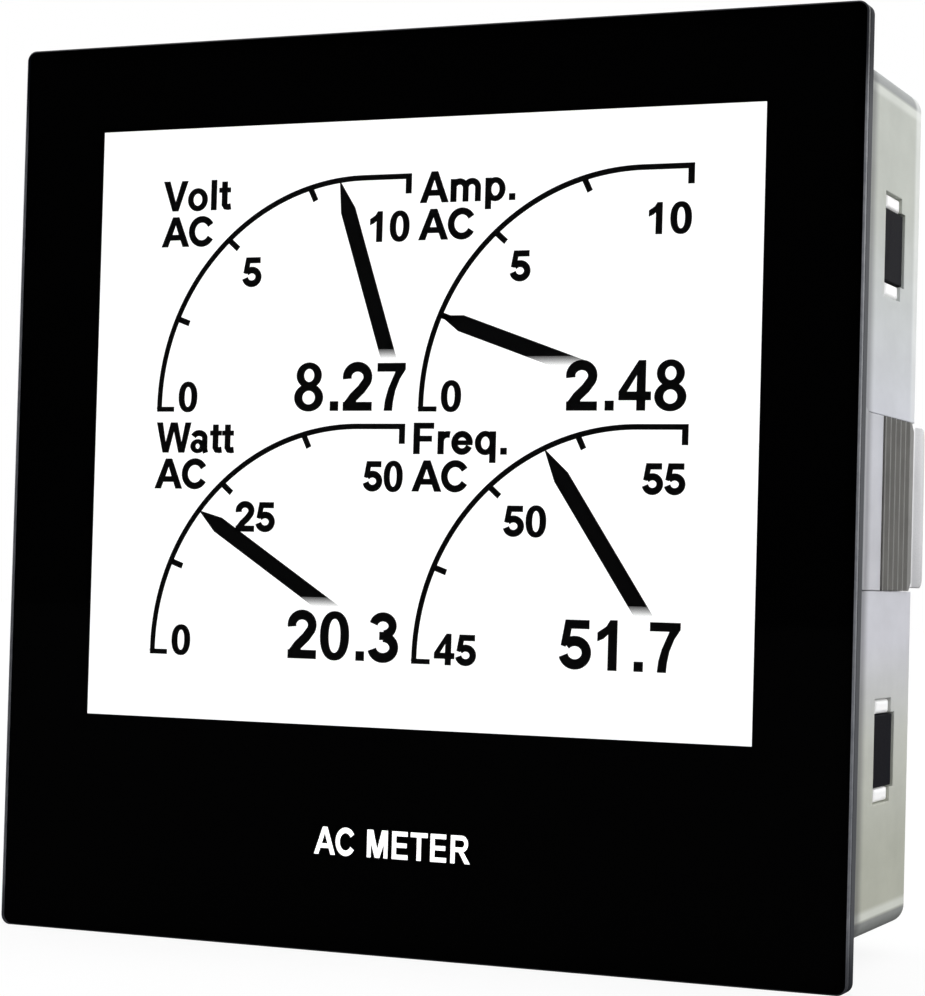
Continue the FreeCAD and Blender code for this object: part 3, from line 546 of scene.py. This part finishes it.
def digits():
    half = 0.1
    two = arc(0.34, 0.70, 0.245, 0.215, 190, -28, 20) + [(0.44, 0.45), (0.25, 0.28), (0.115, 0.11)]
    three_top = arc(0.33, 0.735, 0.225, 0.185, 168, -82)
    three_low = arc(0.335, 0.29, 0.26, 0.215, 88, -168)
    five = arc(0.34, 0.33, 0.26, 0.235, 138, -166)
    shapes = {
        "0": [ring(0.35, 0.495, 0.345, 0.51, 0.2, 0.155, 2.25)],
        "1": [solid([(0.49, 0), (0.49, 1), (0.335, 1), (0.25, 0.87), (0.06, 0.75), (0.06, 0.575),
                     (0.19, 0.63), (0.295, 0.72), (0.295, 0)])],
        "2": [solid(ribbon(two, half)), solid(rect(0.01, 0.69, 0.0, 0.18)),
              solid([(0.01, 0.0), (0.3, 0.0), (0.32, 0.22), (0.18, 0.35), (0.05, 0.16)])],
        "3": [solid(ribbon(three_top, 0.092)), solid(ribbon(three_low, half)),
              solid(rect(0.25, 0.40, 0.445, 0.61))],
        "4": [([(0.395, 0), (0.395, 0.205), (0.0, 0.205), (0.0, 0.375), (0.43, 1.0), (0.585, 1.0),
                (0.585, 0.375), (0.705, 0.375), (0.705, 0.205), (0.585, 0.205), (0.585, 0)],
               [[(0.175, 0.375), (0.395, 0.375), (0.395, 0.71)]])],
        "5": [solid(ribbon(five, half)), solid(rect(0.14, 0.65, 0.81, 0.985)),
              solid([(0.03, 0.475), (0.125, 0.985), (0.29, 0.985), (0.215, 0.575), (0.13, 0.445)])],
        "7": [solid([(0.035, 0.985), (0.69, 0.985), (0.69, 0.85), (0.56, 0.66), (0.46, 0.42),
                     (0.41, 0.18), (0.395, 0.0), (0.205, 0.0), (0.23, 0.22), (0.30, 0.46),
                     (0.46, 0.81), (0.035, 0.81)])],
        "8": [ring(0.35, 0.74, 0.30, 0.27, 0.175, 0.13), ring(0.35, 0.275, 0.345, 0.29, 0.19, 0.145)],
    }
    return {digit: (drawn, DIGIT_ADVANCE) for digit, drawn in shapes.items()}


def capitals():
    bowl = [(0.1, 0.915)] + arc(0.60, 0.705, 0.21, 0.21, 90, -90, 16) + [(0.1, 0.495)]
    leg = [(0.42, 0.48), (0.62, 0.48), (0.78, 0.30), (1.0, 0.0), (0.76, 0.0), (0.55, 0.30)]
    return {
        "A": ([([(0, 0), (0.215, 0), (0.297, 0.228), (0.70, 0.228), (0.785, 0), (1.005, 0),
                 (0.612, 1), (0.393, 1)],
                [[(0.362, 0.395), (0.635, 0.395), (0.4985, 0.77)]])], 1.01),
        "C": ([solid(ribbon(arc(0.48, 0.5, 0.375, 0.415, 33, 327, 36), 0.1))], 1.01),
        "E": ([stem(0.1, width=0.2), solid(rect(0.1, 0.84, 0.0, 0.17)),
               solid(rect(0.1, 0.82, 0.83, 1.0)), solid(rect(0.1, 0.79, 0.42, 0.585))], 0.93),
        "F": ([stem(0.1, width=0.2), solid(rect(0.1, 0.785, 0.83, 1.0)),
               solid(rect(0.1, 0.72, 0.41, 0.575))], 0.853),
        "M": ([stem(0.095, width=0.185), stem(0.88, width=0.185),
               solid([(0.095, 1), (0.375, 1), (0.58, 0.32), (0.785, 1), (1.065, 1), (1.065, 0.99),
                      (0.69, 0.0), (0.475, 0.0), (0.095, 0.99)])], 1.163),
        "R": ([stem(0.1, width=0.2), solid(ribbon(bowl, 0.085)), solid(leg)], 1.01),
        "T": ([stem(0.325, width=0.2), solid(rect(0.03, 0.82, 0.83, 1.0))], 0.853),
        "V": ([solid([(0.0, 1), (0.22, 1), (0.463, 0.27), (0.703, 1), (0.92, 1), (0.565, 0),
                      (0.355, 0)])], 0.90),
        "W": ([solid([(0.0, 1), (0.205, 1), (0.345, 0.31), (0.54, 1), (0.785, 1), (0.965, 0.31),
                      (1.11, 1), (1.315, 1), (1.075, 0), (0.865, 0), (0.66, 0.74), (0.455, 0),
                      (0.245, 0)])], 1.29),
    }


def small_letters():
    a_top = arc(0.355, 0.49, 0.225, 0.165, 158, 0, 16) + [(0.585, 0.12), (0.62, 0.0)]
    r_arm = [(0.19, 0.42)] + arc(0.43, 0.42, 0.24, 0.215, 155, 75, 8)
    t_foot = [(0.22, 0.3), (0.22, 0.17), (0.27, 0.095), (0.36, 0.08), (0.45, 0.095)]
    return {
        "a": ([solid(ribbon(a_top, 0.088)), ring(0.31, 0.21, 0.27, 0.225, 0.175, 0.12)], 0.777),
        "e": ([solid(ribbon(arc(0.385, 0.36, 0.265, 0.285, 0, 335, 36), 0.093)),
               solid(rect(0.12, 0.735, 0.30, 0.43))], 0.777),
        "l": ([stem(0.1)], 0.388),
        "m": ([stem(0.09, 0.725), arch(0.18, 0.71), arch(0.62, 1.15)], 1.24),
        "o": ([ring(0.425, 0.36, 0.37, 0.38, 0.185, 0.16)], 0.853),
        "p": ([stem(0.095, 0.725, -0.27), ring(0.44, 0.36, 0.345, 0.38, 0.185, 0.16)], 0.853),
        "q": ([stem(0.57, 0.725, -0.27), ring(0.41, 0.36, 0.345, 0.38, 0.185, 0.16)], 0.853),
        "r": ([stem(0.095, 0.725), solid(ribbon(r_arm, 0.095))], 0.543),
        "t": ([stem(0.125, 0.93, 0.14), solid(rect(0.02, 0.44, 0.585, 0.725)),
               solid(ribbon(t_foot, 0.09))], 0.465),
    }


def others():
    return {".": ([solid(rect(0.09, 0.285, 0.0, 0.195))], POINT_ADVANCE), " ": ([], POINT_ADVANCE)}


GLYPHS = {**digits(), **capitals(), **small_letters(), **others()}


def letter_shapes(text, left, right, base, height):
    """Shapes for text whose ink runs from left to right, standing on base."""
    placed, x = [], 0.0
    for letter in text:
        shapes, advance = GLYPHS[letter]
        for outline, holes in shapes:
            placed.append([[(px + x, py) for px, py in loop] for loop in [outline] + list(holes)])
        x += advance
    inked = [px for loops in placed for px, _ in loops[0]]
    low, high = min(inked), max(inked)
    wide = (right - left) / (high - low)
    fitted = []
    for loops in placed:
        moved = [[(left + (px - low) * wide, base + py * height) for px, py in loop] for loop in loops]
        fitted.append((moved[0], moved[1:]))
    return fitted


# ---------------------------------------------------------------- the picture on the display
# Every dial is drawn as the top left one, then moved by a column or a row. The photo's columns of scales,
# words, numbers and readings are not quite the same distance apart.
COLUMN = 23.2
LABEL_COLUMN = 22.85
NUMBER_COLUMN = 23.15
READING_COLUMN = 23.05
ROW = -19.4
SCREEN_X, SCREEN_Z = -0.2, 5.3
SCREEN_GROW = 1.007

ARC_X, ARC_Z, ARC_R = -4.55, 6.55, 17.85
ARC_QUARTER, ARC_STRETCH = 90, 12.6
ARC_END_X = -0.5
FOOT_X, FOOT_H = -21.05, 0.4
DROP_X0, DROP_X1, DROP_Z = -0.98, -0.47, 23.05
TICK_LENGTH = 1.2
LINE_HALF, TICK_HALF, NEEDLE_HALF = 0.215, 0.235, 0.65
PIVOT_X, PIVOT_Z = -0.8, 6.5

# left or right edge, base and height of the writing
WORD_X, WORD_Z, WORD_H = -22.55, 22.3, 2.36
KIND_X0, KIND_X1, KIND_Z, KIND_H = -22.6, -18.0, 19.42, 2.34
START_X, START_Z, START_H = -20.62, 6.17, 2.35
MIDDLE_X, MIDDLE_Z, MIDDLE_H, MIDDLE_W = -15.12, 16.08, 2.33, 2.35
END_X, END_Z, END_H, END_W = -0.6, 19.38, 2.33, 2.27
READING_X0, READING_X1, READING_Z, READING_H = -10.2, -0.57, 6.22, 3.75
LETTER_SWELL = 0.035
READING_SWELL = 0.012


def on_dial(share, radius=ARC_R):
    """The point a share of the way along the scale. It runs on past the arc's quarter into a straight end."""
    turn = math.radians(180 - (ARC_QUARTER * share + ARC_STRETCH * share * share))
    if share >= 1:
        return ARC_X, ARC_Z + radius
    return ARC_X + radius * math.cos(turn), ARC_Z + radius * math.sin(turn)


def moved(shapes, dx, dz):
    return mapped(shapes, lambda p: (p[0] + dx, p[1] + dz))


def dial_shapes():
    """The scale: an arc with a short foot, a straight end with a drop, and three ticks."""
    left_x, top_z = ARC_X - ARC_R, ARC_Z + ARC_R
    curve = arc(ARC_X, ARC_Z, ARC_R, ARC_R, 180, 90, 60) + [(ARC_END_X, top_z)]
    shapes = [solid(ribbon([(left_x - 0.05, ARC_Z - FOOT_H / 2)] + curve, LINE_HALF))]
    shapes.append(solid(rect(left_x - 0.22, FOOT_X, ARC_Z - FOOT_H, ARC_Z)))
    shapes.append(solid(rect(DROP_X0, DROP_X1, DROP_Z, top_z + LINE_HALF)))
    for share in (0.25, 0.5, 0.75):
        x, z = on_dial(share)
        inward = Vector((PIVOT_X - x, PIVOT_Z - z)).normalized()
        start = Vector((x, z)) - inward * 0.05
        shapes.append(solid(ribbon([start, start + inward * TICK_LENGTH], TICK_HALF)))
    return shapes


def needle_shape(dial):
    """A pointer from the arc towards the pivot, cut off above the reading. A tilt raises one end of the cut."""
    tip = Vector(on_dial(dial["share"]))
    along = (Vector((PIVOT_X + dial["pivot_shift"], PIVOT_Z)) - tip).normalized()
    across = Vector((-along.y, along.x))
    shoulder = tip + along * dial["taper"]
    outline = [tip, shoulder + across * NEEDLE_HALF]
    for side in (1, -1):
        edge = shoulder + across * NEEDLE_HALF * side
        outline.append(edge + along * ((dial["cut"] + side * dial["tilt"] - edge.y) / along.y))
    outline.append(shoulder - across * NEEDLE_HALF)
    return solid([tuple(p) for p in outline])


def dial(name, column, row, word, word_right, scale, reading, **needle):
    return dict(name=name, column=column, row=row, word=word, word_right=word_right, scale=scale,
                reading=reading, **needle)


DIALS = [
    dial("volt", 0, 0, "Volt", -16.4, ("0", "5", "10"), "8.27",
         share=0.827, taper=2.5, cut=10.25, tilt=0.0, pivot_shift=0.0),
    dial("amp", 1, 0, "Amp.", -14.6, ("0", "5", "10"), "2.48",
         share=0.248, taper=1.9, cut=9.6, tilt=0.25, pivot_shift=0.0),
    dial("watt", 0, 1, "Watt", -15.5, ("0", "25", "50"), "20.3",
         share=0.406, taper=2.1, cut=10.3, tilt=0.0, pivot_shift=0.0),
    dial("freq", 1, 1, "Freq.", -14.75, ("45", "50", "55"), "51.7",
         share=0.664, taper=2.6, cut=10.3, tilt=0.0, pivot_shift=-0.3),
]


def on_screen(name, shapes, material, origin=(0.0, 0.0)):
    """A display piece, with its drawing spread to the lit area's own centre and size."""

    def spread(p):
        return SCREEN_X + p[0] * SCREEN_GROW, SCREEN_Z + (p[1] - SCREEN_Z) * SCREEN_GROW

    return prism_piece(name, mapped(shapes, spread), PRINT_FRONT_Y, PRINT_BACK_Y, material, spread(origin))


def number_width(text, height):
    """The width of the ink of a whole number."""
    return height * (DIGIT_ADVANCE * len(text) - 0.08)


def dial_pieces(dark, fading):
    """Every dial's scale, needle and writing, each as a piece of its own."""
    for dial in DIALS:
        name = dial["name"]
        dx, dz = dial["column"] * COLUMN, dial["row"] * ROW
        lx, nx, rx = (dial["column"] * step for step in (LABEL_COLUMN, NUMBER_COLUMN, READING_COLUMN))
        low, middle, high = dial["scale"]

        def text(part, letters, left, right, base, height, swell=LETTER_SWELL):
            shapes = letter_shapes(letters, left, right, base + dz, height)
            on_screen(f"{name}_{part}", bolder(shapes, swell), dark)

        on_screen(f"{name}_scale", moved(dial_shapes(), dx, dz), dark)
        origin = (PIVOT_X + dx, dial["cut"] + dz)
        on_screen(f"{name}_needle", moved([needle_shape(dial)], dx, dz), fading, origin)
        text("word", dial["word"], lx + WORD_X, lx + dial["word_right"], WORD_Z, WORD_H)
        text("supply_kind", "AC", lx + KIND_X0, lx + KIND_X1, KIND_Z, KIND_H)
        left = nx + START_X
        text("scale_start", low, left, left + number_width(low, START_H), START_Z, START_H)
        left = nx + MIDDLE_X
        text("scale_middle", middle, left, left + number_width(middle, MIDDLE_W), MIDDLE_Z, MIDDLE_H)
        right = nx + END_X
        text("scale_end", high, right - number_width(high, END_W), right, END_Z, END_H)
        left, right = rx + READING_X0, rx + READING_X1
        text("reading", dial["reading"], left, right, READING_Z, READING_H, READING_SWELL)


MARKING_X0, MARKING_X1, MARKING_Z, MARKING_H = -7.5, 5.9, -28.5, 2.15


def front_marking(white):
    """The generic words below the display, just inside the back of the front sheet."""
    shapes = letter_shapes("AC METER", MARKING_X0, MARKING_X1, MARKING_Z, MARKING_H)
    front, back = WINDOW_BACK_Y - 0.015, WINDOW_BACK_Y - 0.003
    prism_piece("front_marking", shapes, front, back, white)


# ---------------------------------------------------------------- rear markings
# name, number of poles, pitch, middle of the row and base of the numbers
TERMINAL_ROWS = (("measuring", 4, 5.08, -11.5, -13.3), ("supply", 2, 3.81, 14.0, -15.6))
REAR_MARK_H, REAR_MARK_HALF_W = 1.3, 0.45
MARK_SUNK, MARK_PROUD, RULE_PROUD = 0.012, 0.02, 0.015
LABEL_MARGIN, LABEL_RULE, LABEL_ROWS, LABEL_SPLIT = 0.8, 0.16, 4, 0.62


def seen_from_behind(shapes, middle):
    """The shapes turned left to right about middle, so they read the right way from the rear."""
    return mapped(shapes, lambda p: (2 * middle - p[0], p[1]))


def rear_marks(dark):
    """Plain terminal numbers above the plugs, and a ruled rating label with nothing written on it."""
    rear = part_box("housing")[1].y / MM
    for name, poles, pitch, x, z in TERMINAL_ROWS:
        shapes = []
        for i in range(poles):
            middle = x + ((poles - 1) / 2 - i) * pitch
            left, right = middle - REAR_MARK_HALF_W, middle + REAR_MARK_HALF_W
            shapes += seen_from_behind(letter_shapes(str(i + 1), left, right, z, REAR_MARK_H), middle)
        front, back = rear - MARK_SUNK, rear + MARK_PROUD
        prism_piece(f"{name}_terminal_numbers", shapes, front, back, dark)

    low, high = (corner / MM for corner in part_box("rear_label"))
    x0, x1 = low.x + LABEL_MARGIN, high.x - LABEL_MARGIN
    z0, z1 = low.z + LABEL_MARGIN, high.z - LABEL_MARGIN
    rule, half = LABEL_RULE, LABEL_RULE / 2
    shapes = [(rect(x0, x1, z0, z1), [rect(x0 + rule, x1 - rule, z0 + rule, z1 - rule)])]
    for i in range(1, LABEL_ROWS):
        z = z0 + (z1 - z0) * i / LABEL_ROWS
        shapes.append(solid(rect(x0 + 0.05, x1 - 0.05, z - half, z + half)))
    column = x0 + (x1 - x0) * LABEL_SPLIT
    shapes.append(solid(rect(column - half, column + half, z0 + 0.05, z1 - 0.05)))
    front, back = high.y - MARK_SUNK, high.y + RULE_PROUD
    prism_piece("label_rules", shapes, front, back, dark)


# ---------------------------------------------------------------- materials for every CAD node
BRIGHT_METAL = dict(metal=1.0, grain=3.0, stretch=(14.0, 1.0, 14.0), vary=0.06, bump=0.12, wear=0.15)
# slot: colour, roughness and what else sets it apart
SURFACES = {
    "black_print": ((0.0012, 0.0012, 0.0013), 0.4, dict(specular=0.0, wear=0.0, bump=0.03)),
    "gasket_rubber": ((0.02, 0.02, 0.02), 0.75, dict(grain=10.0, bump=0.5, depth=0.03)),
    "frame_black": ((0.0035, 0.0035, 0.0065), 0.65,
                    dict(grain=8.0, wear=0.1, bump=0.3, specular=0.03, edge_colour=(0.02, 0.02, 0.026))),
    "label_film": ((0.55, 0.56, 0.57), 0.35, dict(metal=0.25, grain=5.0, vary=0.04, bump=0.08)),
    # the white plastic's faint glow is painted light; the part is no lamp
    "white_plastic": ((0.9, 0.9, 0.89), 0.45, dict(vary=0.03, bump=0.12, through=0.15, glow=0.12)),
    "flex_amber": ((0.55, 0.24, 0.03), 0.3, dict(grain=3.0, bump=0.1)),
    "circuit_board": ((0.01, 0.12, 0.035), 0.32,
                      dict(grain=2.2, vary=0.15, bump=0.2, edge_colour=(0.35, 0.3, 0.16), wear=0.5)),
    "led_body": ((0.85, 0.78, 0.5), 0.35, {}),
    "plated_steel": ((0.55, 0.55, 0.56), 0.3, BRIGHT_METAL),
    "chip_black": ((0.025, 0.025, 0.027), 0.55, dict(grain=12.0, bump=0.3)),
    "capacitor_can": ((0.68, 0.68, 0.69), 0.25, BRIGHT_METAL),
    "shunt_alloy": ((0.5, 0.34, 0.22), 0.35, BRIGHT_METAL),
    "connector_ivory": ((0.7, 0.66, 0.52), 0.4, {}),
    "button_grey": ((0.06, 0.06, 0.062), 0.5, dict(grain=9.0, bump=0.3)),
    "terminal_green": ((0.035, 0.30, 0.11), 0.38,
                       dict(grain=7.0, bump=0.2, vary=0.07, through=0.05, edge_colour=(0.10, 0.45, 0.22))),
    "plated_brass": ((0.66, 0.62, 0.5), 0.28, BRIGHT_METAL),
    "grip_grey": ((0.14, 0.137, 0.126), 0.5,
                  dict(grain=2.2, stretch=(6.0, 6.0, 0.5), vary=0.2, cloud=0.3, bump=0.35, wear=0.3,
                       edge=0.06, edge_colour=(0.2, 0.2, 0.19))),
    "spring_steel": ((0.6, 0.6, 0.61), 0.3, dict(BRIGHT_METAL, colour_socket=spring_highlight_and_shade)),
}


def material_table():
    made = {slot: surface(slot, colour, rough, **look) for slot, (colour, rough, look) in SURFACES.items()}
    made["clear_window"] = clear_window()
    made["case_grey"] = case_plastic()
    made["polarizer_film"] = lit_display()
    made["display_glass"] = clear_plastic("display_glass", (0.93, 0.95, 0.95), 0.02)
    made["light_guide_clear"] = clear_plastic("light_guide_clear", (0.93, 0.95, 0.96), 0.05)
    return made


def dress_nodes():
    """Every CAD part gets the material of its slot."""
    made = material_table()
    slots = {s["slot"]: made[s["slot"]] for s in frame["record"]["materials"]}
    for name, node in frame["nodes"].items():
        wanted = node.data.materials[0].name.split(".")[0] if node.data.materials else ""
        material = slots.get(wanted)
        if material is None:
            raise ValueError(f"{name} has no known material slot ({wanted})")
        node.data.materials.clear()
        node.data.materials.append(material)


# ---------------------------------------------------------------- floor, light and camera
FLOOR_SIZE, FLOOR_GAP = 3.0, 0.02
TO_FRONT = (0.41, 0.91, 0.0)
STUDIO_TONES = [(0.0, (1.0, 1.0, 0.99)), (1.0, (1.35, 1.36, 1.38)), (0.5, (1.9, 1.9, 1.91))]
CAMERA_AT, CAMERA_TURN = (86.1646, -179.466, -6.4943), (91.4241, -1.4585, 21.5686)
CAMERA_LENS, CAMERA_SENSOR = 91.9913, 36.0
CAMERA_SHIFT = (-0.1365, 0.0182)


def floor():
    """A plain pale floor: nearly white to the camera, and dark in gloss so that the front stays black."""
    low = min(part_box(name)[0].z for name in frame["nodes"])
    bpy.ops.mesh.primitive_plane_add(size=FLOOR_SIZE, location=(0.0, 0.0, low - FLOOR_GAP * MM))
    plane = bpy.context.object
    plane.name = "floor"
    n = Nodes("pale_floor")
    at = n.place()
    tone = n.span(n.noise(at, 0.02, 4.0), 0.3, 0.7, 0.985, 1.0)
    lit = n.add("BsdfDiffuse", {"Color": n.grey(n.math("MULTIPLY", tone, 0.9)), "Roughness": 0.5})
    glow = n.add("Emission", {"Color": n.grey(tone), "Strength": 1.02})
    seen = n.add("MixShader", {0: 0.86, 1: lit.outputs[0], 2: glow.outputs[0]})
    path = n.add("LightPath")
    unseen = n.grey(n.span(path.outputs["Is Glossy Ray"], 0.0, 1.0, 0.3, 0.01))
    dim = n.add("BsdfDiffuse", {"Color": unseen})
    camera_ray = path.outputs["Is Camera Ray"]
    shader = n.add("MixShader", {0: camera_ray, 1: dim.outputs[0], 2: seen.outputs[0]})
    plane.data.materials.append(n.finish(shader.outputs[0]))


def soft_studio():
    """White all round, dark only where the glossy front would mirror it back at the camera."""
    n = Nodes("soft_studio", bpy.data.worlds)
    way = n.add("NewGeometry").outputs["Incoming"]
    to_front = n.add("VectorMath", {0: way, 1: TO_FRONT}, operation="DOT_PRODUCT").outputs["Value"]
    height = n.add("SeparateXYZ", {0: way}).outputs["Z"]
    open_side = n.span(to_front, 0.82, 0.25, 0.0, 1.0, smooth=True)
    level = n.ramp(n.span(height, 1.0, -1.0), STUDIO_TONES)
    studio = n.mix(1.0, level, n.grey(open_side), "MULTIPLY")
    colour = n.mix(n.add("LightPath").outputs["Is Camera Ray"], studio, (1.0, 1.0, 1.0))
    back = n.add("Background", {"Color": colour, "Strength": 1.0})
    scene.world = n.finish(back.outputs[0], "OutputWorld")


def camera():
    """The photo's viewpoint, fitted to the corners seen in it."""
    data = bpy.data.cameras.new("camera")
    data.lens = CAMERA_LENS
    data.shift_x, data.shift_y = CAMERA_SHIFT
    data.sensor_width = CAMERA_SENSOR
    data.clip_start = 0.01
    view = bpy.data.objects.new("camera", data)
    view.location = Vector(CAMERA_AT) * MM
    view.rotation_euler = Euler([math.radians(angle) for angle in CAMERA_TURN])
    scene.collection.objects.link(view)
    scene.camera = view


dress_nodes()
dial_pieces(ink("display_segment", BLACK), ink("display_needle", BLACK, fade=0.75))
# the white print glows: painted light that keeps it bright on the dark front
front_marking(ink("white_print", (0.9, 0.9, 0.9), glow=1.1))
rear_marks(ink("dark_print", (0.03, 0.03, 0.035)))
floor()
soft_studio()
camera()
scene.view_settings.view_transform = "Standard"
